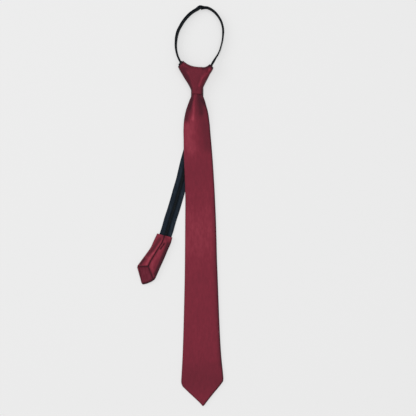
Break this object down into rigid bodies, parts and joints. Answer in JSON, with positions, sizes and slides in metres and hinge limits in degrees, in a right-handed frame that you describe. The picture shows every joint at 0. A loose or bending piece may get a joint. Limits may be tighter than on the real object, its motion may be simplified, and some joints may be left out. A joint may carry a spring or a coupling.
{
  "type": "zipper tie",
  "caption": "Ready-knotted narrow necktie: padded pointed blade, wide flat knot, neck loop made by the zip's two parted halves, and a folded pull tab at the end of the zip.",
  "frame": {"origin": "middle of the zip slider's flat back, behind the knot, on the surface that the tie lies on", "axes": "+Y along the tie from the blade's tip towards the neck loop, +Z out of the front of the knot, +X to the right as seen from the front"},
  "size_m": [0.1216, 0.562, 0.0156],
  "materials": {
    "wine_satin": "satin",
    "wine_lining": "satin",
    "zip_tape": "matte",
    "zip_coil": "semi-gloss",
    "black_plastic": "matte",
    "slider_metal": "satin"
  },
  "bodies": {
    "root": {"blade": "wine_satin", "blade_tipping": "wine_lining", "knot_wrap": "wine_satin", "knot_former": "black_plastic", "zip_slider": "slider_metal", "zip_tape_left": "zip_tape", "zip_tape_right": "zip_tape", "zip_coil_left": "zip_coil", "zip_coil_right": "zip_coil", "tail_tab": "wine_satin", "tab_tipping": "wine_lining"}
  },
  "joints": []
}
